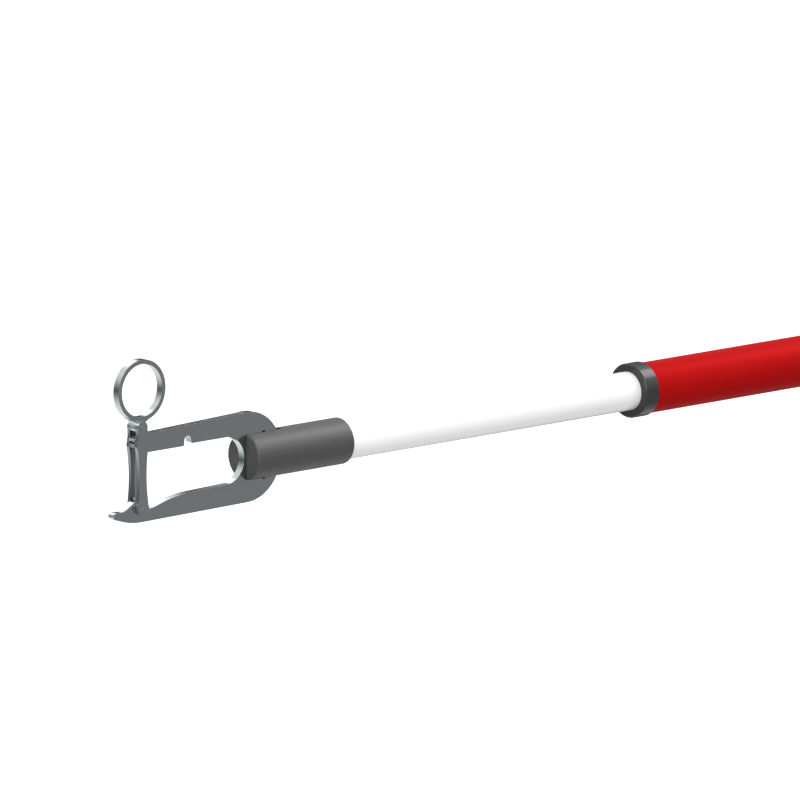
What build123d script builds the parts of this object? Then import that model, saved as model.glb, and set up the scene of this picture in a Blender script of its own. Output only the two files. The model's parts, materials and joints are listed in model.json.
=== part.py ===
from build123d import *
import os

# Telescopic reaching pole with a slotted head that carries a detachable snap hook.
# All sizes are in millimetres. The pole lies along X: the butt face is at X = 0 and
# the hook points towards -X. Z is up, towards the eye of the hook.

# --- tubes -------------------------------------------------------------------
inner_tube_radius = 14.7
inner_tube_wall = 1.5
bush_thickness = 2.8          # radial space between the two tubes
outer_tube_wall = 2.0
outer_tube_length = 680.0
exposed_length = 295.3        # inner tube that shows with the pole set as drawn
overlap_length = 255.0        # inner tube that stays inside the outer tube

# --- fits --------------------------------------------------------------------
slide_gap = 0.08              # radial, between parts that slide or turn on each other
pin_gap = 0.05                # radial, between the hinge pin and the plate's knuckle
press_gap = 0.01              # radial, pins and rivets fixed in their holes
bond_gap = 0.03               # radial, glued or pressed tube joints
cheek_gap = 0.15              # between the plate and each cheek of the gate
slot_gap = 0.1                # between the plate and each wall of the socket's slot
seat_gap = 0.3                # between the plate's back and the floor of the slot

# --- front collar and butt cap -------------------------------------------------
collar_step = 1.3             # how far the collar stands proud of the outer tube
collar_length = 13.3
collar_chamfer = 0.8
collar_spigot_length = 35.0
wiper_width = 3.0
wiper_depth = 1.4
cap_step = 1.3
cap_head_length = 26.0
cap_round = 2.5
cap_spigot_length = 30.0
cap_wall = 3.0
hang_hole_radius = 4.0
hang_hole_setback = 12.0      # hole's axis in front of the butt face
ring_section_radius = 1.0     # rubber rings

# --- socket --------------------------------------------------------------------
socket_wall = 2.75            # around the inner tube
socket_round = 1.5
socket_setback = 101.0        # front face behind the eye's centre
tube_engagement = 40.0
socket_septum = 14.3          # solid stretch between the magnet and the tube
magnet_radius = 6.0
magnet_length = 5.0
tube_plug_length = 12.0

# --- hook plate ----------------------------------------------------------------
plate_thickness = 6.0
eye_height = 62.9
eye_outer_radius = 22.8
eye_inner_radius = 19.5
knuckle_radius = 4.7
pivot_x = -2.2                # gate pivot, from the eye's centre
pivot_z = 36.0                # above the pole's axis
hinge_pin_radius = 1.6
back_centre_x = 102.4
back_centre_z = 0.2
back_radius = 33.7
window_centre_x = 81.8
window_radius = 17.65
tie_hole_radius = 2.0
tie_hole_x = 118.5
tie_hole_height = 16.2

# --- gate ----------------------------------------------------------------------
cheek_thickness = 3.0
web_front_x = -4.0
web_thickness = 2.0
web_top_z = 19.2
web_bottom_z = -19.0
rib_radius = 0.95              # round bar formed across the frame, above the lip
rib_x = -6.9
rib_z = 26.8
catch_pin_radius = 1.75
catch_x = -3.35
catch_z = -22.6
leaf_thickness = 0.5
leaf_width = 4.8
leaf_foot_z = -15.0
leaf_tip_x = 4.5
leaf_tip_z = 17.5
rivet_radius = 0.8
rivet_head_radius = 1.7
rivet_head_height = 0.8
rivet_z = -11.0

# --- twist lock inside the outer tube --------------------------------------------
lock_plug_length = 24.0
lock_plug_flange = 3.0
plug_pin_radius = 1.5
spindle_radius = 5.0
collet_length = 38.0
collet_front_wall = 6.0
collet_wall = 3.0
collet_slit_width = 1.6
collet_slit_length = 19.0
cone_length = 20.0
cone_taper = 5.0              # drop in radius along the cone
cone_seat_gap = 0.06          # between the cone and the collet when locked
cone_stick_out = 8.0          # cone behind the collet when locked
drag_ring_setback = 9.0
lock_travel = 1.5             # cone movement in half a turn of the coarse thread
washer_thickness = 1.5
washer_radius = 9.0
clip_thickness = 1.2
clip_radius = 7.5
clip_groove_depth = 0.8
end_clearance = 0.5
bush_length = 25.0
bush_setback = 45.0           # from the tube's rear end to the bush

# --- derived radii ---------------------------------------------------------------
outer_bore = inner_tube_radius + bush_thickness
outer_tube_radius = outer_bore + outer_tube_wall
collar_radius = outer_tube_radius + collar_step
cap_radius = outer_tube_radius + cap_step
socket_radius = inner_tube_radius + socket_wall
inner_bore = inner_tube_radius - inner_tube_wall
half_plate = plate_thickness / 2
half_inside = half_plate + cheek_gap
half_gate = half_inside + cheek_thickness
web_cut_length = 2 * (web_thickness - web_front_x)

# --- derived stations along the pole, from the butt forwards ----------------------
slot_depth = back_centre_x + back_radius + seat_gap - socket_setback
socket_length = slot_depth + magnet_length + socket_septum + tube_engagement
outer_rear_x = -cap_head_length
outer_front_x = outer_rear_x - outer_tube_length
collar_front_x = outer_front_x - collar_length
socket_rear_x = collar_front_x - exposed_length
socket_front_x = socket_rear_x - socket_length
slot_floor_x = socket_front_x + slot_depth
eye_x = socket_front_x - socket_setback
inner_front_x = socket_rear_x - tube_engagement
inner_rear_x = outer_front_x + overlap_length
collet_front_x = inner_rear_x + lock_plug_flange + end_clearance
collet_rear_x = collet_front_x + collet_length
cone_rear_x = collet_rear_x + cone_stick_out
washer_front_x = cone_rear_x + lock_travel + end_clearance
clip_front_x = washer_front_x + washer_thickness + end_clearance / 2
spindle_rear_x = clip_front_x + clip_thickness + 2 * end_clearance


def across(x):
    """Plane across the pole at station x, facing the hook."""
    return Plane(origin=(x, 0, 0), x_dir=(0, -1, 0), z_dir=(-1, 0, 0))


def side(y, x=0.0, z=0.0):
    """Plane along the plate at y, facing -Y, with x and z taken from the eye's centre line."""
    return Plane(origin=(eye_x + x, y, z), x_dir=(1, 0, 0), z_dir=(0, -1, 0))


def round_stock(rear_x, length, radius, mode=Mode.ADD):
    """Adds a rod along the pole to the open part, or cuts one out of it, from its rear end forwards."""
    with Locations(across(rear_x)):
        Cylinder(radius, length, align=(Align.CENTER, Align.CENTER, Align.MIN), mode=mode)


def half_section(*points):
    """Half section of a turned shape, from its corners (x, radius)."""
    with BuildSketch(Plane.XZ) as section:
        with BuildLine():
            Polyline(*points, close=True)
        make_face()
    return section.sketch


def rubber_ring(centre_x, outer_radius):
    """Adds a round-section rubber ring to the open part."""
    with Locations(across(centre_x)):
        Torus(outer_radius - ring_section_radius, ring_section_radius)


def ring_groove(centre_x, outer_radius):
    """Square groove that holds a rubber ring flush with a spigot of this radius."""
    half_width = ring_section_radius + press_gap
    floor_radius = outer_radius - 2 * half_width
    return half_section(
        (centre_x - half_width, floor_radius),
        (centre_x + half_width, floor_radius),
        (centre_x + half_width, outer_radius + half_width),
        (centre_x - half_width, outer_radius + half_width),
    )


def cross_pin(x, z, radius, mode=Mode.ADD):
    """Adds a pin across the gate to the open part, or cuts its hole."""
    with Locations(side(0, x, z)):
        Cylinder(radius, 2 * half_gate, mode=mode)


def rivet_shank(radius, rear_x, length, mode=Mode.ADD):
    """Adds a stretch of the leaf spring's rivet to the open part, or cuts its hole."""
    with Locations(Plane(origin=(rear_x, 0, rivet_z), z_dir=(-1, 0, 0))):
        Cylinder(radius, length, align=(Align.CENTER, Align.CENTER, Align.MIN), mode=mode)


def plug_pin_stock(radius, mode=Mode.ADD):
    """Adds the upright pin of the lock plug to the open part, or cuts its hole."""
    with Locations((inner_rear_x - lock_plug_length / 2, 0, 0)):
        Cylinder(radius, 2 * inner_tube_radius, mode=mode)


def body_outline():
    """C-shaped body of the hook, with its nose, saddle and notch."""
    top_start = (2.3, 30.45)
    top_end = (96.5, 33.4)
    turn_x = 108.0
    turn_rise = (back_radius**2 - (turn_x - back_centre_x) ** 2) ** 0.5
    back_top = (turn_x, back_centre_z + turn_rise)
    back_low = (turn_x, back_centre_z - turn_rise)
    belly_end = (100.5, -33.55)
    belly_start = (-2.65, -34.6)
    floor_end_x = 84.4
    floor_end_z = -((window_radius**2 - (floor_end_x - window_centre_x) ** 2) ** 0.5)
    floor_start = (47.0, -18.5)
    with BuildSketch(side(half_plate)) as outline:
        with BuildLine():
            Line(top_start, top_end)
            ThreePointArc(top_end, (102.4, 33.8), back_top)
            ThreePointArc(back_top, (back_centre_x + back_radius, back_centre_z), back_low)
            ThreePointArc(back_low, (104.5, -33.4), belly_end)
            Line(belly_end, belly_start)
            ThreePointArc(belly_start, (-14.8, -33.2), (-26.4, -29.3))
            ThreePointArc((-26.4, -29.3), (-28.2, -27.1), (-26.6, -25.05))
            Line((-26.6, -25.05), (-24.4, -24.5))
            Spline((-24.4, -24.5), (-20.2, -24.85), (-14.7, -22.95), (-7.6, -19.0))
            Polyline((-7.6, -19.0), (-5.3, -21.3), (-5.3, -25.6), (6.0, -25.6))
            Spline((6.0, -25.6), (13.3, -24.2), (22.2, -21.7), (29.4, -20.3), (37.0, -19.2), floor_start)
            Line(floor_start, (floor_end_x, floor_end_z))
            ThreePointArc(
                (floor_end_x, floor_end_z),
                (window_centre_x + window_radius, 0),
                (window_centre_x, window_radius),
            )
            Polyline((window_centre_x, window_radius), (48.6, window_radius), (47.7, 18.6), (47.1, 21.7))
            ThreePointArc((47.1, 21.7), (44.2, 23.8), (41.0, 20.8))
            Polyline((41.0, 20.8), (40.7, 17.3), (39.9, 16.5), (5.3, 16.5), (5.3, 22.5), (2.2, 25.6))
            Polyline((2.2, 25.6), (-0.4, 27.6), (-0.6, 36.0), (2.3, 36.0), top_start)
        make_face()
    return outline.sketch


def neck_outline():
    """Web that joins the eye to the gate's knuckle."""
    with BuildSketch(side(half_plate)) as outline:
        with BuildLine():
            Polyline(
                (-12.7, 43.9),
                (-12.2, 42.8),
                (-8.0, 40.6),
                (-6.9, 38.6),
                (-6.9, 36.0),
                (2.5, 36.0),
                (3.5, 39.3),
                (12.8, 44.4),
                close=True,
            )
        make_face()
    return outline.sketch


def make_hook_plate():
    with BuildPart() as hook_plate:
        with BuildSketch(side(half_plate)):
            with Locations((pivot_x, pivot_z)):
                Circle(knuckle_radius)
            with Locations((0, eye_height)):
                Circle(eye_outer_radius)
        extrude(amount=plate_thickness)
        extrude(body_outline(), amount=plate_thickness)
        extrude(neck_outline(), amount=plate_thickness)
        with BuildSketch(side(half_plate)):
            with Locations((0, eye_height)):
                Circle(eye_inner_radius)
            with Locations((pivot_x, pivot_z)):
                Circle(hinge_pin_radius + pin_gap)
            with Locations((tie_hole_x, tie_hole_height), (tie_hole_x, -tie_hole_height)):
                Circle(tie_hole_radius)
        extrude(amount=plate_thickness, mode=Mode.SUBTRACT)
    hook_plate.part.label = "hook_plate"
    export_step(hook_plate.part, "parts/hook_plate.step")


def cheek_outline(y):
    """Side view of the gate: round knuckle, slim waist and round foot."""
    with BuildSketch(side(y)) as outline:
        with BuildLine():
            ThreePointArc((-6.9, 36.0), (-6.5, 31.0), (-7.1, 24.9))
            Line((-7.1, 24.9), (-7.75, 22.7))
            ThreePointArc((-7.75, 22.7), (-5.45, 1.5), (-7.45, -23.7))
            ThreePointArc((-7.45, -23.7), (-2.0, -29.15), (3.45, -23.7))
            ThreePointArc((3.45, -23.7), (1.35, 0.0), (2.45, 17.2))
            Line((2.45, 17.2), (2.5, 36.0))
            ThreePointArc((2.5, 36.0), (pivot_x, pivot_z + knuckle_radius), (-6.9, 36.0))
        make_face()
    return outline.sketch


def bridge_outline():
    """Side view of what joins the two cheeks: the long web, the short lip and the round rib."""
    web_back_x = web_front_x + web_thickness
    with BuildSketch(side(half_inside)) as outline:
        with BuildLine():
            Polyline(
                (web_front_x, web_bottom_z),
                (web_back_x, web_bottom_z),
                (web_back_x, web_top_z),
                (web_front_x, web_top_z),
                close=True,
            )
        make_face()
        with BuildLine():
            Polyline((-7.2, 24.0), (-4.6, 24.0), (-4.6, 21.0), (-7.0, 21.0), close=True)
        make_face()
        with Locations((rib_x, rib_z)):
            Circle(rib_radius)
    return outline.sketch


def make_gate_frame():
    with BuildPart() as gate_frame:
        extrude(cheek_outline(half_gate), amount=cheek_thickness)
        extrude(cheek_outline(-half_inside), amount=cheek_thickness)
        extrude(bridge_outline(), amount=2 * half_inside)
        with Locations(Plane(origin=(eye_x, 0, web_bottom_z), z_dir=(-1, 0, 0))):
            Cylinder(half_inside, web_cut_length, mode=Mode.SUBTRACT)
        cross_pin(pivot_x, pivot_z, hinge_pin_radius + press_gap, Mode.SUBTRACT)
        cross_pin(catch_x, catch_z, catch_pin_radius + press_gap, Mode.SUBTRACT)
        rivet_shank(rivet_radius + press_gap, eye_x, web_cut_length, Mode.SUBTRACT)
    gate_frame.part.label = "gate_frame"
    export_step(gate_frame.part, "parts/gate_frame.step")


def make_gate_pins():
    with BuildPart() as hinge_pin:
        cross_pin(pivot_x, pivot_z, hinge_pin_radius)
    hinge_pin.part.label = "gate_hinge_pin"
    export_step(hinge_pin.part, "parts/gate_hinge_pin.step")

    with BuildPart() as catch_pin:
        cross_pin(catch_x, catch_z, catch_pin_radius)
    catch_pin.part.label = "gate_catch_pin"
    export_step(catch_pin.part, "parts/gate_catch_pin.step")


def leaf_outline():
    """Side view of the leaf spring: flat foot on the web, then a long bow to the hook's arm."""
    front = web_front_x + web_thickness
    back = front + leaf_thickness
    bend_z = rivet_z + 2 * rivet_head_radius
    bow_x = 0.2
    bow_z = 5.5
    with BuildSketch(side(leaf_width / 2)) as outline:
        with BuildLine():
            Polyline((back, bend_z), (back, leaf_foot_z), (front, leaf_foot_z), (front, bend_z))
            ThreePointArc((front, bend_z), (bow_x, bow_z), (leaf_tip_x, leaf_tip_z))
            Line((leaf_tip_x, leaf_tip_z), (leaf_tip_x + leaf_thickness, leaf_tip_z))
            ThreePointArc(
                (leaf_tip_x + leaf_thickness, leaf_tip_z),
                (bow_x + leaf_thickness, bow_z),
                (back, bend_z),
            )
        make_face()
    return outline.sketch


def make_leaf_spring():
    with BuildPart() as leaf_spring:
        extrude(leaf_outline(), amount=leaf_width)
        rivet_shank(rivet_radius + press_gap, eye_x, web_cut_length, Mode.SUBTRACT)
    leaf_spring.part.label = "gate_leaf_spring"
    export_step(leaf_spring.part, "parts/gate_leaf_spring.step")

    leaf_back_x = eye_x + web_front_x + web_thickness + leaf_thickness
    with BuildPart() as rivet:
        rivet_shank(rivet_radius, leaf_back_x, web_thickness + leaf_thickness)
        rivet_shank(rivet_head_radius, leaf_back_x + rivet_head_height, rivet_head_height)
    rivet.part.label = "leaf_spring_rivet"
    export_step(rivet.part, "parts/leaf_spring_rivet.step")


def make_hook_socket():
    with BuildPart() as hook_socket:
        round_stock(socket_rear_x, socket_length, socket_radius)
        fillet(hook_socket.faces().sort_by(Axis.X)[0].edges(), radius=socket_round)
        round_stock(
            socket_rear_x, tube_engagement, inner_tube_radius + bond_gap, Mode.SUBTRACT
        )
        round_stock(
            slot_floor_x + magnet_length, magnet_length, magnet_radius + press_gap, Mode.SUBTRACT
        )
        with Locations(across(slot_floor_x)):
            Box(
                2 * (half_plate + slot_gap),
                2 * socket_radius,
                slot_depth,
                align=(Align.CENTER, Align.CENTER, Align.MIN),
                mode=Mode.SUBTRACT,
            )
    hook_socket.part.label = "hook_socket"
    export_step(hook_socket.part, "parts/hook_socket.step")

    with BuildPart() as magnet:
        round_stock(slot_floor_x + magnet_length, magnet_length, magnet_radius)
    magnet.part.label = "retaining_magnet"
    export_step(magnet.part, "parts/retaining_magnet.step")


def make_inner_tube():
    length = inner_rear_x - inner_front_x
    with BuildPart() as inner_tube:
        round_stock(inner_rear_x, length, inner_tube_radius)
        round_stock(inner_rear_x, length, inner_bore, Mode.SUBTRACT)
        plug_pin_stock(plug_pin_radius + press_gap, Mode.SUBTRACT)
    inner_tube.part.label = "inner_tube"
    export_step(inner_tube.part, "parts/inner_tube.step")

    with BuildPart() as tube_plug:
        round_stock(inner_front_x + tube_plug_length, tube_plug_length, inner_bore - bond_gap)
    tube_plug.part.label = "inner_tube_plug"
    export_step(tube_plug.part, "parts/inner_tube_plug.step")


def make_guide_bush():
    bush_rear_x = inner_rear_x - bush_setback
    with BuildPart() as guide_bush:
        round_stock(bush_rear_x, bush_length, outer_bore - slide_gap)
        round_stock(bush_rear_x, bush_length, inner_tube_radius + bond_gap, Mode.SUBTRACT)
    guide_bush.part.label = "guide_bush"
    export_step(guide_bush.part, "parts/guide_bush.step")


def make_lock_plug():
    whole_length = lock_plug_length + lock_plug_flange
    flange_rear_x = inner_rear_x + lock_plug_flange
    with BuildPart() as lock_plug:
        round_stock(inner_rear_x, lock_plug_length, inner_bore - bond_gap)
        round_stock(flange_rear_x, lock_plug_flange, inner_tube_radius)
        round_stock(flange_rear_x, whole_length, spindle_radius + press_gap, Mode.SUBTRACT)
        plug_pin_stock(plug_pin_radius + press_gap, Mode.SUBTRACT)
    lock_plug.part.label = "lock_plug"
    export_step(lock_plug.part, "parts/lock_plug.step")

    with BuildPart() as plug_pin:
        plug_pin_stock(plug_pin_radius)
    plug_pin.part.label = "lock_plug_pin"
    export_step(plug_pin.part, "parts/lock_plug_pin.step")


def make_lock_spindle():
    front_x = inner_rear_x - lock_plug_length
    groove_radius = spindle_radius - clip_groove_depth
    with BuildPart() as spindle:
        round_stock(spindle_rear_x, spindle_rear_x - clip_front_x - clip_thickness, spindle_radius)
        round_stock(clip_front_x + clip_thickness, clip_thickness, groove_radius)
        round_stock(clip_front_x, clip_front_x - front_x, spindle_radius)
        plug_pin_stock(plug_pin_radius + press_gap, Mode.SUBTRACT)
    spindle.part.label = "lock_spindle"
    export_step(spindle.part, "parts/lock_spindle.step")


def make_spindle_stops():
    clip_rear_x = clip_front_x + clip_thickness - press_gap
    clip_width = clip_thickness - 2 * press_gap
    clip_bore = spindle_radius - clip_groove_depth + press_gap
    mouth_width = spindle_radius
    washer_rear_x = washer_front_x + washer_thickness
    with BuildPart() as washer:
        round_stock(washer_rear_x, washer_thickness, washer_radius)
        round_stock(washer_rear_x, washer_thickness, spindle_radius + press_gap, Mode.SUBTRACT)
    washer.part.label = "spindle_washer"
    export_step(washer.part, "parts/spindle_washer.step")

    with BuildPart() as clip:
        round_stock(clip_rear_x, clip_width, clip_radius)
        round_stock(clip_rear_x, clip_width, clip_bore, Mode.SUBTRACT)
        with Locations((clip_rear_x, 0, clip_radius)):
            Box(2 * clip_radius, mouth_width, 2 * clip_radius, mode=Mode.SUBTRACT)
    clip.part.label = "spindle_clip"
    export_step(clip.part, "parts/spindle_clip.step")


def make_split_collet():
    outer = outer_bore - pin_gap
    mouth = outer - collet_wall
    throat = mouth - cone_taper
    journal = spindle_radius + pin_gap
    throat_x = cone_rear_x - cone_length
    wall_x = collet_front_x + collet_front_wall
    ring_x = collet_front_x + drag_ring_setback
    with BuildPart() as collet:
        revolve(
            half_section(
                (collet_front_x, journal),
                (wall_x, journal),
                (wall_x, throat),
                (throat_x, throat),
                (collet_rear_x, mouth),
                (collet_rear_x, outer),
                (collet_front_x, outer),
            ),
            axis=Axis.X,
        )
        revolve(ring_groove(ring_x, outer), axis=Axis.X, mode=Mode.SUBTRACT)
        with Locations(across(collet_rear_x)):
            for width, height in (
                (collet_slit_width, 2 * outer_bore),
                (2 * outer_bore, collet_slit_width),
            ):
                Box(
                    width,
                    height,
                    collet_slit_length,
                    align=(Align.CENTER, Align.CENTER, Align.MIN),
                    mode=Mode.SUBTRACT,
                )
    collet.part.label = "split_collet"
    export_step(collet.part, "parts/split_collet.step")

    with BuildPart() as drag_ring:
        rubber_ring(ring_x, outer)
    drag_ring.part.label = "collet_drag_ring"
    export_step(drag_ring.part, "parts/collet_drag_ring.step")


def make_expander_cone():
    mouth = outer_bore - pin_gap - collet_wall - cone_seat_gap
    bore = spindle_radius + pin_gap
    cone_front_x = cone_rear_x - cone_length
    with BuildPart() as cone:
        revolve(
            half_section(
                (cone_front_x, bore),
                (cone_rear_x, bore),
                (cone_rear_x, mouth),
                (collet_rear_x, mouth),
                (cone_front_x, mouth - cone_taper),
            ),
            axis=Axis.X,
        )
    cone.part.label = "expander_cone"
    export_step(cone.part, "parts/expander_cone.step")


def make_outer_tube():
    with BuildPart() as outer_tube:
        round_stock(outer_rear_x, outer_tube_length, outer_tube_radius)
        round_stock(outer_rear_x, outer_tube_length, outer_bore, Mode.SUBTRACT)
    outer_tube.part.label = "outer_tube"
    export_step(outer_tube.part, "parts/outer_tube.step")


def make_front_collar():
    bore = inner_tube_radius + slide_gap
    spigot = outer_bore - bond_gap
    spigot_rear_x = outer_front_x + collar_spigot_length
    wiper_rear_x = collar_front_x + (collar_length + wiper_width) / 2
    wiper_groove = bore + wiper_depth
    wiper_cut = wiper_width - 2 * press_gap
    with BuildPart() as collar:
        revolve(
            half_section(
                (spigot_rear_x, bore),
                (spigot_rear_x, spigot),
                (outer_front_x, spigot),
                (outer_front_x, collar_radius),
                (collar_front_x + collar_chamfer, collar_radius),
                (collar_front_x, collar_radius - collar_chamfer),
                (collar_front_x, bore),
            ),
            axis=Axis.X,
        )
        round_stock(wiper_rear_x, wiper_width, wiper_groove, Mode.SUBTRACT)
    collar.part.label = "front_collar"
    export_step(collar.part, "parts/front_collar.step")

    with BuildPart() as wiper:
        round_stock(wiper_rear_x - press_gap, wiper_cut, wiper_groove - press_gap)
        round_stock(wiper_rear_x, wiper_width, inner_tube_radius + pin_gap, Mode.SUBTRACT)
    wiper.part.label = "collar_wiper"
    export_step(wiper.part, "parts/collar_wiper.step")


def make_butt_cap():
    ring_x = outer_rear_x - cap_spigot_length / 2
    spigot = outer_bore - bond_gap
    with BuildPart() as butt_cap:
        round_stock(0, cap_head_length, cap_radius)
        fillet(butt_cap.faces().sort_by(Axis.X)[-1].edges(), radius=cap_round)
        round_stock(outer_rear_x, cap_spigot_length, spigot)
        round_stock(outer_rear_x, cap_spigot_length, spigot - cap_wall, Mode.SUBTRACT)
        revolve(ring_groove(ring_x, spigot), axis=Axis.X, mode=Mode.SUBTRACT)
        with Locations(Plane(origin=(-hang_hole_setback, 0, 0), z_dir=(0, -1, 0))):
            Cylinder(hang_hole_radius, 2 * cap_radius, mode=Mode.SUBTRACT)
    butt_cap.part.label = "butt_cap"
    export_step(butt_cap.part, "parts/butt_cap.step")

    with BuildPart() as butt_ring:
        rubber_ring(ring_x, spigot)
    butt_ring.part.label = "butt_seal_ring"
    export_step(butt_ring.part, "parts/butt_seal_ring.step")


os.makedirs("parts", exist_ok=True)
make_hook_plate()
make_gate_frame()
make_gate_pins()
make_leaf_spring()
make_hook_socket()
make_inner_tube()
make_guide_bush()
make_lock_plug()
make_lock_spindle()
make_spindle_stops()
make_split_collet()
make_expander_cone()
make_outer_tube()
make_front_collar()
make_butt_cap()
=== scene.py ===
import json
import math

import bmesh
import bpy
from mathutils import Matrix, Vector


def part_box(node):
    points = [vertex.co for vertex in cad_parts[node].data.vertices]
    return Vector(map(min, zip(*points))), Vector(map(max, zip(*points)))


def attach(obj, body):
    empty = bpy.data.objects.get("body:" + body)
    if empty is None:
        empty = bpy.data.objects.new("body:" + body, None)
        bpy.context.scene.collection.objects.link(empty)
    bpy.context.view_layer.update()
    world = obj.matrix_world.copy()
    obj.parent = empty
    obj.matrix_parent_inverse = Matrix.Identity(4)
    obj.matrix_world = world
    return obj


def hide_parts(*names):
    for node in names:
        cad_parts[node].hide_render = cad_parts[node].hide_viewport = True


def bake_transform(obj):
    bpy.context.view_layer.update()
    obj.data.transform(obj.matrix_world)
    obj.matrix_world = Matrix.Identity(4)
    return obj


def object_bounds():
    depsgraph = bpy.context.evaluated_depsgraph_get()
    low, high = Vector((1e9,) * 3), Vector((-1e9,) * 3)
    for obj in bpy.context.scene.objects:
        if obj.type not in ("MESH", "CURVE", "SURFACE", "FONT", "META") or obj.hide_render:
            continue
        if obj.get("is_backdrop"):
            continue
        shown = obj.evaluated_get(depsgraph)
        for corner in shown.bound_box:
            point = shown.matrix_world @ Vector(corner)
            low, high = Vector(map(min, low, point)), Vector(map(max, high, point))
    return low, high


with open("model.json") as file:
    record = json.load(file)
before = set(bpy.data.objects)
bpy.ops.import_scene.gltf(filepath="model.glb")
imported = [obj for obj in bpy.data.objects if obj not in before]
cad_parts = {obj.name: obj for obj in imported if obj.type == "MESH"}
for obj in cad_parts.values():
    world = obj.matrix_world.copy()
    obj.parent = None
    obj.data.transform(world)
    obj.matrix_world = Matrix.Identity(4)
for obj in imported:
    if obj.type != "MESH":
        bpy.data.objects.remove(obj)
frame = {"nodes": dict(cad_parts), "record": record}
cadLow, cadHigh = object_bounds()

# Telescopic reaching pole with a snap hook on its head.
# The pole lies along X, with its butt at X = 0 and the hook towards -X; the eye points up.
# Places come from the CAD nodes, mounts and joints. Sizes in the dictionaries are millimetres.

mm = 0.001
nodes = frame["nodes"]
mounts = {mount["name"]: Vector(mount["pos_m"]) for mount in frame["record"]["mounts"]}
bodies = frame["record"]["behaviour"]["bodies"]
bodyOf = {node: body for body, members in bodies.items() for node in members}
slotOf = {part["node"]: part["material_slot"] for part in frame["record"]["subparts"]}
eyeX = mounts["eye"].x


def linear(hexColour):
    # sRGB hex to the linear values that Blender's sockets take
    shares = [int(hexColour[start:start + 2], 16) / 255 for start in (1, 3, 5)]
    return tuple(s / 12.92 if s <= 0.04045 else ((s + 0.055) / 1.055) ** 2.4 for s in shares) + (1.0,)


def addNode(tree, kind, inputs=None, **settings):
    # one node with its settings; an input is a value, or a socket to link from
    node = tree.nodes.new(kind)
    for name, value in settings.items():
        setattr(node, name, value)
    for name, value in (inputs or {}).items():
        if isinstance(value, bpy.types.NodeSocket):
            tree.links.new(value, node.inputs[name])
        else:
            node.inputs[name].default_value = value
    return node


def newMaterial(name):
    material = bpy.data.materials.new(name)
    material.use_nodes = True
    material.node_tree.nodes.clear()
    return material, material.node_tree


# Camera. It looks at a point behind the eye from the left front, a little above.
camera = {
    "azimuth": -42.63,        # degrees round the object, 0 looks along +Y
    "elevation": 10.65,
    "distance": 8898.8,
    "behindEye": 257.34,      # aim point, from the eye's centre towards the butt
    "aboveAxis": 22.71,
    "lens": 540.0,
    "sensor": 36.0,
    "clip": (100.0, 200000.0),
}


def makeCamera():
    turn, rise = math.radians(camera["azimuth"]), math.radians(camera["elevation"])
    level = math.cos(rise)
    back = Vector((math.sin(turn) * level, -math.cos(turn) * level, math.sin(rise)))
    aim = Vector((eyeX + camera["behindEye"] * mm, 0, camera["aboveAxis"] * mm))
    data = bpy.data.cameras.new("camera")
    data.lens, data.sensor_width = camera["lens"], camera["sensor"]
    data.clip_start, data.clip_end = (reach * mm for reach in camera["clip"])
    eye = bpy.data.objects.new("camera", data)
    eye.location = aim + back * camera["distance"] * mm
    eye.rotation_mode = "QUATERNION"
    eye.rotation_quaternion = (-back).to_track_quat("-Z", "Y")
    bpy.context.scene.collection.objects.link(eye)
    bpy.context.scene.camera = eye


# Studio. Soft light that is dim at the horizon and bright above and below, which is what
# gives polished steel its dark line, a dark flag and a glow behind, and two soft boxes.
# Spans run from where something starts to where it is full, on a direction's X, Y or Z.
studio = {
    "floorDrop": 900.0,       # floor below the lowest point of the hook
    "floorSize": 60000.0,
    "floorColour": "#F7F7F5",
    "floorGlow": 0.35,
    "darkLine": -0.04,        # height of the dim line, as the Z of a direction
    "skyStops": [             # away from that line, 0 to 1: how bright
        (0.0, 0.17), (0.06, 0.22), (0.145, 0.34), (0.19, 0.45), (0.366, 0.90), (0.525, 1.27),
        (0.65, 1.48), (0.8, 1.2), (1.0, 0.9),
    ],
    "frontShade": 0.65,       # how much of the light from below and in front is held back
    "frontBelow": (-0.2, -0.5),          # over this span of Z
    "frontToward": (0.3, -0.4),          # and this span of Y
    "flagShade": 0.84,        # how much the flag behind on the right holds back
    "flagRight": (0.50, 0.655),          # over this span of X
    "flagBehind": (0.2, 0.5),            # and this span of Y
    "glowAdd": 1.0,           # how much the glow adds
    "glowSide": (0.345, 0.72, 0.60),     # behind and above
    "glowSpan": (0.92, 0.984),           # of the cosine off that side
    "keySide": (0.67, -0.18, 0.72),
    "keyDistance": 3000.0,
    "keySize": 1500.0,
    "keyPower": 36.0,
    "fillSide": (-0.6, -0.7, 0.35),
    "fillDistance": 3000.0,
    "fillSize": 2200.0,
    "fillPower": 44.0,
}


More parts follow.
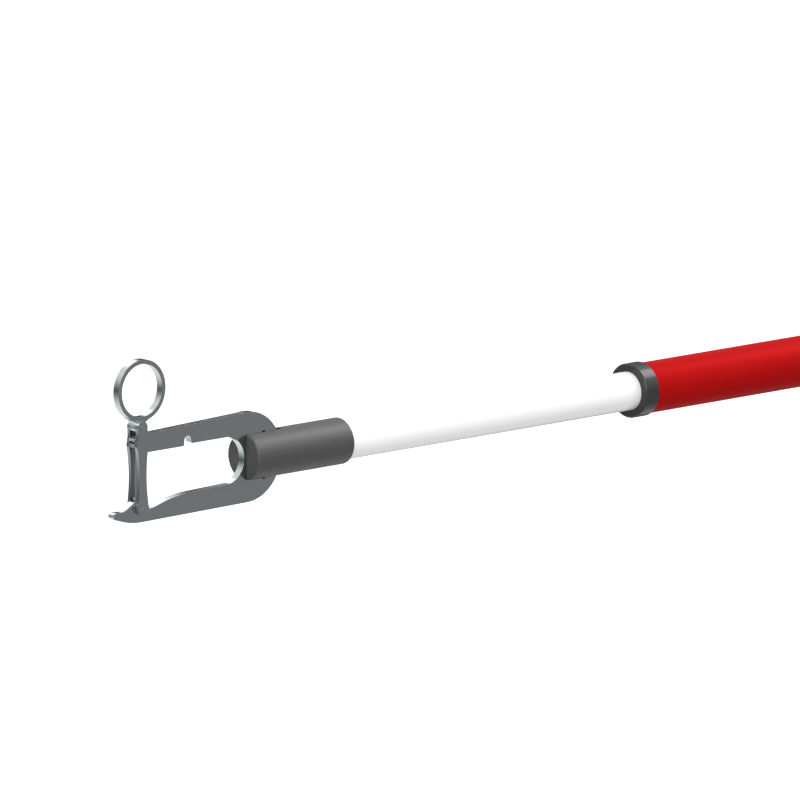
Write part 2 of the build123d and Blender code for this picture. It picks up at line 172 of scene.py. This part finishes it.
def makeWorld():
    world = bpy.data.worlds.new("studio")
    world.use_nodes = True
    tree = world.node_tree
    tree.nodes.clear()
    white = (1, 1, 1, 1)
    direction = addNode(tree, "ShaderNodeTexCoord").outputs["Generated"]
    parts = addNode(tree, "ShaderNodeSeparateXYZ", {"Vector": direction})
    away = addNode(tree, "ShaderNodeMath", {
        0: parts.outputs["Z"], 1: studio["darkLine"]}, operation="SUBTRACT")
    height = addNode(tree, "ShaderNodeMath", {0: away.outputs["Value"]}, operation="ABSOLUTE")
    brightest = max(strength for place, strength in studio["skyStops"])
    ramp = addNode(tree, "ShaderNodeValToRGB", {"Fac": height.outputs["Value"]})
    stops = ramp.color_ramp.elements
    while len(stops) < len(studio["skyStops"]):
        stops.new(1.0)
    for stop, (place, strength) in zip(stops, studio["skyStops"]):
        stop.position = place
        stop.color = (strength / brightest,) * 3 + (1,)

    glowCosine = addNode(tree, "ShaderNodeVectorMath", {
        0: direction, 1: studio["glowSide"]}, operation="DOT_PRODUCT")
    spans = {}                # 0 where each starts, 1 where it is full
    for name, along, ease in (
            ("frontBelow", parts.outputs["Z"], "LINEAR"),
            ("frontToward", parts.outputs["Y"], "LINEAR"),
            ("flagRight", parts.outputs["X"], "SMOOTHSTEP"),
            ("flagBehind", parts.outputs["Y"], "SMOOTHSTEP"),
            ("glowSpan", glowCosine.outputs["Value"], "SMOOTHSTEP")):
        starts, full = studio[name]
        spans[name] = addNode(tree, "ShaderNodeMapRange", {
            "Value": along, "From Min": starts, "From Max": full}, interpolation_type=ease).outputs[0]

    passed = {}               # what gets past the shade in front and past the flag
    for name, across, over in (("frontShade", "frontBelow", "frontToward"),
                               ("flagShade", "flagRight", "flagBehind")):
        hidden = addNode(tree, "ShaderNodeMath", {
            0: spans[across], 1: spans[over]}, operation="MULTIPLY")
        passed[name] = addNode(tree, "ShaderNodeMath", {
            0: hidden.outputs["Value"], 1: -studio[name], 2: 1.0}, operation="MULTIPLY_ADD").outputs[0]

    glow = addNode(tree, "ShaderNodeMath", {
        0: spans["glowSpan"], 1: studio["glowAdd"] / brightest}, operation="MULTIPLY")
    soft = addNode(tree, "ShaderNodeMath", {
        0: ramp.outputs["Color"], 1: passed["frontShade"], 2: glow.outputs["Value"]},
        operation="MULTIPLY_ADD")
    flagged = addNode(tree, "ShaderNodeMath", {
        0: soft.outputs["Value"], 1: passed["flagShade"]}, operation="MULTIPLY")
    strength = addNode(tree, "ShaderNodeMath", {
        0: flagged.outputs["Value"], 1: brightest}, operation="MULTIPLY")
    sky = addNode(tree, "ShaderNodeBackground", {"Color": white, "Strength": strength.outputs["Value"]})
    plain = addNode(tree, "ShaderNodeBackground", {"Color": white, "Strength": 1.0})
    seen = addNode(tree, "ShaderNodeLightPath").outputs["Is Camera Ray"]
    both = addNode(tree, "ShaderNodeMixShader", {"Fac": seen, 1: sky.outputs[0], 2: plain.outputs[0]})
    addNode(tree, "ShaderNodeOutputWorld", {"Surface": both.outputs["Shader"]})
    bpy.context.scene.world = world


def makeSoftBox(name, side, distance, size, power):
    aim = Vector((eyeX / 2, 0, 0))
    data = bpy.data.lights.new(name, "AREA")
    data.shape, data.size, data.energy = "DISK", size * mm, power
    box = bpy.data.objects.new(name, data)
    box.location = aim + Vector(side).normalized() * distance * mm
    box.rotation_mode = "QUATERNION"
    box.rotation_quaternion = Vector(side).normalized().to_track_quat("Z", "Y")
    box.visible_camera = False
    bpy.context.scene.collection.objects.link(box)


def makeFloor():
    # pale, far below, and seen only from above, so that the pole reads as held in the air
    half = studio["floorSize"] * mm / 2
    level = cadLow.z - studio["floorDrop"] * mm
    mesh = bpy.data.meshes.new("floor")
    corners = [(x * half, y * half, level) for x, y in ((-1, -1), (1, -1), (1, 1), (-1, 1))]
    mesh.from_pydata(corners, [], [(0, 1, 2, 3)])
    floor = bpy.data.objects.new("floor", mesh)
    bpy.context.scene.collection.objects.link(floor)
    material, tree = newMaterial("paleFloor")
    colour = linear(studio["floorColour"])
    paint = addNode(tree, "ShaderNodeBsdfDiffuse", {"Color": colour})
    glow = addNode(tree, "ShaderNodeEmission", {"Color": colour, "Strength": studio["floorGlow"]})
    lit = addNode(tree, "ShaderNodeAddShader", {0: paint.outputs[0], 1: glow.outputs[0]})
    under = addNode(tree, "ShaderNodeNewGeometry").outputs["Backfacing"]
    clear = addNode(tree, "ShaderNodeBsdfTransparent")
    both = addNode(tree, "ShaderNodeMixShader", {"Fac": under, 1: lit.outputs[0], 2: clear.outputs[0]})
    addNode(tree, "ShaderNodeOutputMaterial", {"Surface": both.outputs["Shader"]})
    mesh.materials.append(material)
    floor.visible_glossy = floor.visible_diffuse = False   # the light from below is the world's
    floor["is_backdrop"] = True


makeCamera()
makeWorld()
for box in ("key", "fill"):
    makeSoftBox(box + "Box", *(studio[box + part] for part in ("Side", "Distance", "Size", "Power")))
makeFloor()
bpy.context.scene.view_settings.view_transform = "Standard"
print("camera, lights and floor")


# Finishes. Each is a colour that wanders between two with a fine noise, and a bump from the
# same noise. "mark" is the width of one mark of it, "stretch" how many times longer the mark is
# along the pole, "depth" its relief, and "surface" holds what goes on the shader as it is.
evenMarks = {"stretch": 1.0, "detail": 3.0, "grit": 0.5, "swirl": 0.0, "contrast": (0.0, 1.0)}


def makeFinish(name, look):
    material, tree = newMaterial(name)
    place = addNode(tree, "ShaderNodeTexCoord").outputs["Object"]
    stretched = addNode(tree, "ShaderNodeMapping", {
        "Vector": place, "Scale": (1 / look["stretch"], 1, 1)})
    marks = addNode(tree, "ShaderNodeTexNoise", {
        "Vector": stretched.outputs["Vector"], "Scale": 1 / (look["mark"] * mm),
        "Detail": look["detail"], "Roughness": look["grit"], "Distortion": look["swirl"]})
    low, high = look["contrast"]
    tone = addNode(tree, "ShaderNodeMapRange", {
        "Value": marks.outputs["Fac"], "From Min": low, "From Max": high})
    first, second = look["colours"]
    colour = addNode(tree, "ShaderNodeMix", {      # its inputs 6 and 7 and its output 2 are the colours
        "Factor": tone.outputs["Result"], 6: linear(first), 7: linear(second)}, data_type="RGBA")
    bump = addNode(tree, "ShaderNodeBump", {
        "Height": marks.outputs["Fac"], "Strength": 1.0, "Distance": look["depth"] * mm})
    surface = dict(look["surface"])
    if "cloud" in look:
        clouds = addNode(tree, "ShaderNodeTexNoise", {
            "Vector": place, "Scale": 1 / (look["cloud"] * mm), "Detail": look["cloudDetail"]})
        cloudLow, cloudHigh = look["cloudContrast"]
        shiny, dull = look["cloudRoughness"]
        surface["Roughness"] = addNode(tree, "ShaderNodeMapRange", {
            "Value": clouds.outputs["Fac"], "From Min": cloudLow, "From Max": cloudHigh,
            "To Min": shiny, "To Max": dull}).outputs["Result"]
    shader = addNode(tree, "ShaderNodeBsdfPrincipled", {
        "Base Color": colour.outputs[2], "Normal": bump.outputs["Normal"], **surface})
    addNode(tree, "ShaderNodeOutputMaterial", {"Surface": shader.outputs["BSDF"]})
    return material


# Stainless sheet, 6 mm, laser cut and tumbled until it shines: a clear but slightly soft
# reflection, with the faint lines of the rolling mill along the sheet.
steelPlate = dict(evenMarks, **{
    "colours": ("#A8AFB1", "#AFB5B7"),
    "mark": 0.8,              # rolling lines, drawn wider than the real 0.1 so that they show
    "stretch": 18.0,
    "depth": 0.0006,
    "cloud": 14.0,            # patches that are shinier and duller
    "cloudDetail": 4.0,
    "cloudContrast": (0.3, 0.7),
    "cloudRoughness": (0.13, 0.22),
    "surface": {"Metallic": 1.0},
})

# Small metal parts. Ground and hardened pins shine evenly, blued spring strip is dark and
# brushed across, zinc plate on the spindle is pale and duller, and nickel is warm.
pinSteel = dict(steelPlate, colours=("#A9AFB0", "#B1B5B6"), cloudRoughness=(0.16, 0.24),
                mark=0.3, stretch=1.0, depth=0.0005)
springSteel = dict(steelPlate, colours=("#54585F", "#70757D"), cloudRoughness=(0.26, 0.36),
                   mark=0.4, stretch=0.2, depth=0.002)
zincSteel = dict(steelPlate, colours=("#AEB2B8", "#C6C9CB"), cloudRoughness=(0.28, 0.4),
                 mark=0.5, stretch=1.0, depth=0.004)
nickel = dict(steelPlate, colours=("#C2BCAE", "#D2CDC0"), cloudRoughness=(0.12, 0.2),
              mark=0.6, stretch=1.0, depth=0.002)

# Red tube: aluminium, drawn, satin etched and anodised red. The dye is in a clear oxide over
# the metal, so its highlight is red and broad, and fine draw lines run along the tube.
redTube = dict(evenMarks, **{
    "colours": ("#A31113", "#AC1314"),
    "mark": 1.2,              # draw lines, drawn wider than the real 0.05 so that they show
    "stretch": 60.0,
    "detail": 4.0,
    "depth": 0.004,
    "surface": {"Metallic": 0.12, "Roughness": 0.42, "Specular IOR Level": 0.025,
                "Specular Tint": linear("#FF3A3A")},
})

# White tube: aluminium with gloss powder coat, which levels into a faint orange peel.
whiteTube = dict(evenMarks, **{
    "colours": ("#F1F1F0", "#F6F6F6"),
    "mark": 2.2,              # one dimple of the peel
    "detail": 2.0,
    "depth": 0.006,
    "surface": {"Roughness": 0.22, "IOR": 1.5},
})

# Socket: rubber, compression moulded in an eroded mould, so it is matt with a fine sandy grain
# that catches light at a glance. Seals are smoother and blacker nitrile.
socketRubber = dict(evenMarks, **{
    "colours": ("#353535", "#434343"),
    "mark": 1.1,              # grain, drawn coarser than the real 0.4 so that it shows
    "grit": 0.6,
    "contrast": (0.35, 0.65),
    "depth": 0.05,
    "surface": {"Roughness": 0.52, "IOR": 1.52, "Specular IOR Level": 0.7},
})
sealRubber = dict(socketRubber, colours=("#1B1B1C", "#242425"), mark=0.5, depth=0.004,
                  surface={"Roughness": 0.5, "IOR": 1.52, "Specular IOR Level": 0.4})

# Plastics: collar and cap in glossy black ABS, moulded, with faint flow marks from the gate;
# lock parts in natural nylon, which is milky.
blackPlastic = dict(evenMarks, **{
    "colours": ("#2F2F30", "#353536"),
    "mark": 9.0,              # one flow mark
    "swirl": 0.6,
    "depth": 0.006,
    "surface": {"Roughness": 0.26, "IOR": 1.54, "Specular IOR Level": 0.27},
})
lockNylon = dict(blackPlastic, colours=("#DCD6C4", "#E6E1D2"), mark=4.0, depth=0.008,
                 surface={"Roughness": 0.42, "IOR": 1.53, "Specular IOR Level": 0.5,
                          "Subsurface Weight": 0.25, "Subsurface Scale": 2 * mm})

finishes = {                  # the record's slot: what it is made of here
    "hook_steel": makeFinish("tumbledStainless", steelPlate),
    "pin_steel": makeFinish("groundPinSteel", pinSteel),
    "spring_steel": makeFinish("bluedSpringSteel", springSteel),
    "lock_spindle_steel": makeFinish("zincPlatedSteel", zincSteel),
    "magnet_nickel": makeFinish("nickelPlate", nickel),
    "outer_tube_red": makeFinish("redAnodisedAluminium", redTube),
    "inner_tube_white": makeFinish("whitePowderCoat", whiteTube),
    "socket_rubber": makeFinish("mouldedRubber", socketRubber),
    "seal_rubber": makeFinish("nitrileRubber", sealRubber),
    "collar_plastic": makeFinish("glossBlackAbs", blackPlastic),
    "lock_nylon": makeFinish("naturalNylon", lockNylon),
}
print("materials:", len(finishes))


# Edges. Each rigid node is shown as a clean copy of itself: doubles merged, flat faces joined
# again, and its sharp edges broken by this much, as deburring or a mould's radius does.
edgeBreak = {
    "hook_plate": 0.05,
    "gate_frame": 0.06,
    "gate_hinge_pin": 0.05,
    "gate_catch_pin": 0.05,
    "gate_leaf_spring": 0.06,
    "leaf_spring_rivet": 0.05,
    "hook_socket": 0.25,
    "retaining_magnet": 0.2,
    "inner_tube_plug": 0.3,
    "lock_plug": 0.3,
    "lock_plug_pin": 0.15,
    "spindle_clip": 0.1,
    "split_collet": 0.15,
    "expander_cone": 0.25,
    "front_collar": 0.2,
    "butt_cap": 0.25,
}
softNodes = ("collar_wiper", "collet_drag_ring", "butt_seal_ring")   # rubber, no edge to break
edgeSteps = 3
mergeWithin = 0.001
flatWithin = math.radians(0.3)
sharpFrom = math.radians(32)


def camel(node):
    first, *rest = node.split("_")
    return first + "".join(word.capitalize() for word in rest)


def finishPiece(piece, node):
    # the piece stands for the node, rides where it rode and takes its slot's finish
    slot = slotOf[node]
    piece.data.materials.clear()
    piece.data.materials.append(finishes[slot])
    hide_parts(node)
    print("piece", piece.name, len(piece.data.polygons), "faces")


def cleanCopy(node):
    mesh = bpy.data.meshes.new(camel(node))
    shape = bmesh.new()
    shape.from_mesh(nodes[node].data)
    bmesh.ops.remove_doubles(shape, verts=shape.verts, dist=mergeWithin * mm)
    bmesh.ops.dissolve_limit(shape, angle_limit=flatWithin, verts=shape.verts, edges=shape.edges)
    shape.to_mesh(mesh)
    shape.free()
    mesh.polygons.foreach_set("use_smooth", [True] * len(mesh.polygons))
    mesh.set_sharp_from_angle(angle=sharpFrom)
    piece = bpy.data.objects.new(camel(node), mesh)
    bpy.context.scene.collection.objects.link(piece)
    return piece


def breakEdges(piece, width):
    bevel = piece.modifiers.new("brokenEdges", "BEVEL")
    bevel.width, bevel.segments = width * mm, edgeSteps
    bevel.limit_method, bevel.angle_limit = "ANGLE", sharpFrom
    bevel.use_clamp_overlap = False
    bevel.harden_normals = True


def settleModifiers(piece):
    # keeps the evaluated mesh and drops the modifiers
    graph = bpy.context.evaluated_depsgraph_get()
    settled = bpy.data.meshes.new_from_object(piece.evaluated_get(graph), depsgraph=graph)
    settled.name = piece.name
    piece.modifiers.clear()
    piece.data = settled


pieces = {}
for node in (*edgeBreak, *softNodes):
    piece = cleanCopy(node)
    if node in edgeBreak:
        breakEdges(piece, edgeBreak[node])
        settleModifiers(piece)
    pieces[node] = piece
print("clean copies:", len(pieces))


# Tubes, bush and washer: a wall with rounded rims, swept once round the pole's axis.
sweptRings = {                # node: its wall, and how far its rims are rounded
    "outer_tube": (2.0, 0.3),
    "inner_tube": (1.5, 0.3),
    "guide_bush": (2.69, 0.3),
    "spindle_washer": (3.95, 0.2),
}
ringFacets = 128
rimSteps = 3


def addInput(tree, name, kind):
    return tree.interface.new_socket(name, in_out="INPUT", socket_type=kind).identifier


def newGeometryTree(name):
    tree = bpy.data.node_groups.new(name, "GeometryNodeTree")
    tree.interface.new_socket("Geometry", in_out="OUTPUT", socket_type="NodeSocketGeometry")
    return tree


def addInputs(tree, floats):
    # the tree's sizes, then how many facets go round, then the material
    ids = {name: addInput(tree, name, "NodeSocketFloat") for name in floats}
    ids["Facets"] = addInput(tree, "Facets", "NodeSocketInt")
    ids["Material"] = addInput(tree, "Material", "NodeSocketMaterial")
    return ids, addNode(tree, "NodeGroupInput").outputs


def addSpan(tree, given):
    # the length from Front to Rear, and the point midway between them
    length = addNode(tree, "ShaderNodeMath", {
        0: given["Rear"], 1: given["Front"]}, operation="SUBTRACT")
    ends = addNode(tree, "ShaderNodeMath", {0: given["Rear"], 1: given["Front"]}, operation="ADD")
    centre = addNode(tree, "ShaderNodeMath", {0: ends.outputs[0], 1: 0.5}, operation="MULTIPLY")
    return length.outputs[0], addNode(tree, "ShaderNodeCombineXYZ", {"X": centre.outputs[0]}).outputs[0]


def layAlongPole(tree, shape, place):
    # from standing on Z to lying on X
    laid = addNode(tree, "GeometryNodeTransform", {
        "Geometry": shape, "Rotation": (0, math.pi / 2, 0), "Translation": place})
    return laid.outputs["Geometry"]


def endTree(tree, geometry, material):
    smooth = addNode(tree, "GeometryNodeSetShadeSmooth", {"Geometry": geometry})
    plain = addNode(tree, "GeometryNodeRealizeInstances", {"Geometry": smooth.outputs["Geometry"]})
    painted = addNode(tree, "GeometryNodeSetMaterial", {
        "Geometry": plain.outputs["Geometry"], "Material": material})
    addNode(tree, "NodeGroupOutput", {"Geometry": painted.outputs["Geometry"]})


def makeRingTree():
    tree = newGeometryTree("wallRoundPole")
    ids, given = addInputs(tree, ("Front", "Rear", "Radius", "Wall", "Rim"))
    length, place = addSpan(tree, given)
    halfWall = addNode(tree, "ShaderNodeMath", {0: given["Wall"], 1: 0.5}, operation="MULTIPLY")
    middle = addNode(tree, "ShaderNodeMath", {
        0: given["Radius"], 1: halfWall.outputs[0]}, operation="SUBTRACT")
    path = addNode(tree, "GeometryNodeCurvePrimitiveCircle", {
        "Resolution": given["Facets"], "Radius": middle.outputs[0]})
    section = addNode(tree, "GeometryNodeCurvePrimitiveQuadrilateral", {
        "Width": given["Wall"], "Height": length})
    rounded = addNode(tree, "GeometryNodeFilletCurve", {
        "Curve": section.outputs["Curve"], "Radius": given["Rim"], "Count": rimSteps}, mode="POLY")
    ring = addNode(tree, "GeometryNodeCurveToMesh", {
        "Curve": path.outputs["Curve"], "Profile Curve": rounded.outputs["Curve"]})
    endTree(tree, layAlongPole(tree, ring.outputs["Mesh"], place), given["Material"])
    return tree, ids


def growPiece(name, tree, ids, values):
    # an empty mesh that the tree fills, then a plain mesh
    piece = bpy.data.objects.new(name, bpy.data.meshes.new(name))
    bpy.context.scene.collection.objects.link(piece)
    grown = piece.modifiers.new("grown", "NODES")
    grown.node_group = tree
    for key, value in values.items():
        grown[ids[key]] = value
    settleModifiers(piece)
    return piece


ringTree, ringIds = makeRingTree()
for node, (wall, rim) in sweptRings.items():
    low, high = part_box(node)
    piece = growPiece(camel(node), ringTree, ringIds, {
        "Front": low.x, "Rear": high.x, "Radius": high.z, "Wall": wall * mm, "Rim": rim * mm,
        "Facets": ringFacets, "Material": finishes[slotOf[node]]})
    piece.data.set_sharp_from_angle(angle=sharpFrom)
    pieces[node] = piece
print("swept rings:", len(sweptRings))


# Lock spindle: a rod with a coarse single start thread under the cone's nut, and the groove
# that its clip sits in.
spindle = {
    "lead": 3.0,
    "threadDepth": 0.55,
    "crest": 0.3,             # share of the lead that is crest, and the rest up to the root
    "flank": 0.25,
    "threadFront": 4.0,       # behind the collet's front end
    "threadRear": 4.0,        # behind the cone
    "grooveDepth": 0.8,
    "step": 0.25,             # length of one mesh ring
    "facets": 48,
}


def makeSpindleTree():
    tree = newGeometryTree("threadedRod")
    ids, given = addInputs(tree, (
        "Front", "Rear", "Radius", "Lead", "Depth", "Crest", "Flank", "Thread Front", "Thread Rear",
        "Groove Front", "Groove Rear", "Groove Depth", "Step"))
    length, place = addSpan(tree, given)
    rings = addNode(tree, "ShaderNodeMath", {0: length, 1: given["Step"]}, operation="DIVIDE")
    rod = addNode(tree, "GeometryNodeMeshCylinder", {
        "Vertices": given["Facets"], "Side Segments": rings.outputs[0], "Radius": given["Radius"],
        "Depth": length})
    laid = layAlongPole(tree, rod.outputs["Mesh"], place)
    here = addNode(tree, "ShaderNodeSeparateXYZ", {
        "Vector": addNode(tree, "GeometryNodeInputPosition").outputs["Position"]})

    # the thread's depth at a point, from how far along and how far round it is
    turn = addNode(tree, "ShaderNodeMath", {
        0: here.outputs["Z"], 1: here.outputs["Y"]}, operation="ARCTAN2")
    wound = addNode(tree, "ShaderNodeMath", {0: turn.outputs[0], 1: 2 * math.pi}, operation="DIVIDE")
    along = addNode(tree, "ShaderNodeMath", {0: here.outputs["X"], 1: given["Lead"]}, operation="DIVIDE")
    phase = addNode(tree, "ShaderNodeMath", {0: along.outputs[0], 1: wound.outputs[0]}, operation="ADD")
    cycle = addNode(tree, "ShaderNodeMath", {0: phase.outputs[0], 1: 1.0}, operation="PINGPONG")
    rootFrom = addNode(tree, "ShaderNodeMath", {0: given["Crest"], 1: given["Flank"]}, operation="ADD")
    thread = addNode(tree, "ShaderNodeMapRange", {
        "Value": cycle.outputs[0], "From Min": given["Crest"], "From Max": rootFrom.outputs[0],
        "To Max": given["Depth"]})

    cuts = []
    for start, end, depth in (("Thread Front", "Thread Rear", thread.outputs["Result"]),
                              ("Groove Front", "Groove Rear", given["Groove Depth"])):
        after = addNode(tree, "ShaderNodeMath", {
            0: here.outputs["X"], 1: given[start]}, operation="GREATER_THAN")
        before = addNode(tree, "ShaderNodeMath", {
            0: here.outputs["X"], 1: given[end]}, operation="LESS_THAN")
        inside = addNode(tree, "ShaderNodeMath", {
            0: after.outputs[0], 1: before.outputs[0]}, operation="MULTIPLY")
        cuts.append(addNode(tree, "ShaderNodeMath", {
            0: inside.outputs[0], 1: depth}, operation="MULTIPLY").outputs[0])
    cut = addNode(tree, "ShaderNodeMath", {0: cuts[0], 1: cuts[1]}, operation="MAXIMUM")
    inwards = addNode(tree, "ShaderNodeMath", {0: cut.outputs[0], 1: -1.0}, operation="MULTIPLY")
    radial = addNode(tree, "ShaderNodeCombineXYZ", {"Y": here.outputs["Y"], "Z": here.outputs["Z"]})
    out = addNode(tree, "ShaderNodeVectorMath", {0: radial.outputs["Vector"]}, operation="NORMALIZE")
    offset = addNode(tree, "ShaderNodeVectorMath", {
        0: out.outputs["Vector"], "Scale": inwards.outputs[0]}, operation="SCALE")
    shaped = addNode(tree, "GeometryNodeSetPosition", {
        "Geometry": laid, "Offset": offset.outputs["Vector"]})
    endTree(tree, shaped.outputs["Geometry"], given["Material"])
    return tree, ids


rodLow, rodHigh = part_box("lock_spindle")
clipLow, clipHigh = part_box("spindle_clip")
spindleTree, spindleIds = makeSpindleTree()
pieces["lock_spindle"] = growPiece("lockSpindle", spindleTree, spindleIds, {
    "Front": rodLow.x, "Rear": rodHigh.x, "Radius": rodHigh.z, "Lead": spindle["lead"] * mm,
    "Depth": spindle["threadDepth"] * mm, "Crest": spindle["crest"], "Flank": spindle["flank"],
    "Thread Front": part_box("split_collet")[0].x + spindle["threadFront"] * mm,
    "Thread Rear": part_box("expander_cone")[1].x + spindle["threadRear"] * mm,
    "Groove Front": clipLow.x, "Groove Rear": clipHigh.x, "Groove Depth": spindle["grooveDepth"] * mm,
    "Step": spindle["step"] * mm, "Facets": spindle["facets"],
    "Material": finishes[slotOf["lock_spindle"]]})
pieces["lock_spindle"].data.set_sharp_from_angle(angle=sharpFrom)
print("lock spindle")


for node, piece in pieces.items():
    finishPiece(piece, node)
    if node == "gate_leaf_spring":
        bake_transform(piece)
    else:
        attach(piece, bodyOf[node])
for node in nodes:
    nodes[node].data.materials.clear()
    nodes[node].data.materials.append(finishes[slotOf[node]])

low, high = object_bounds()
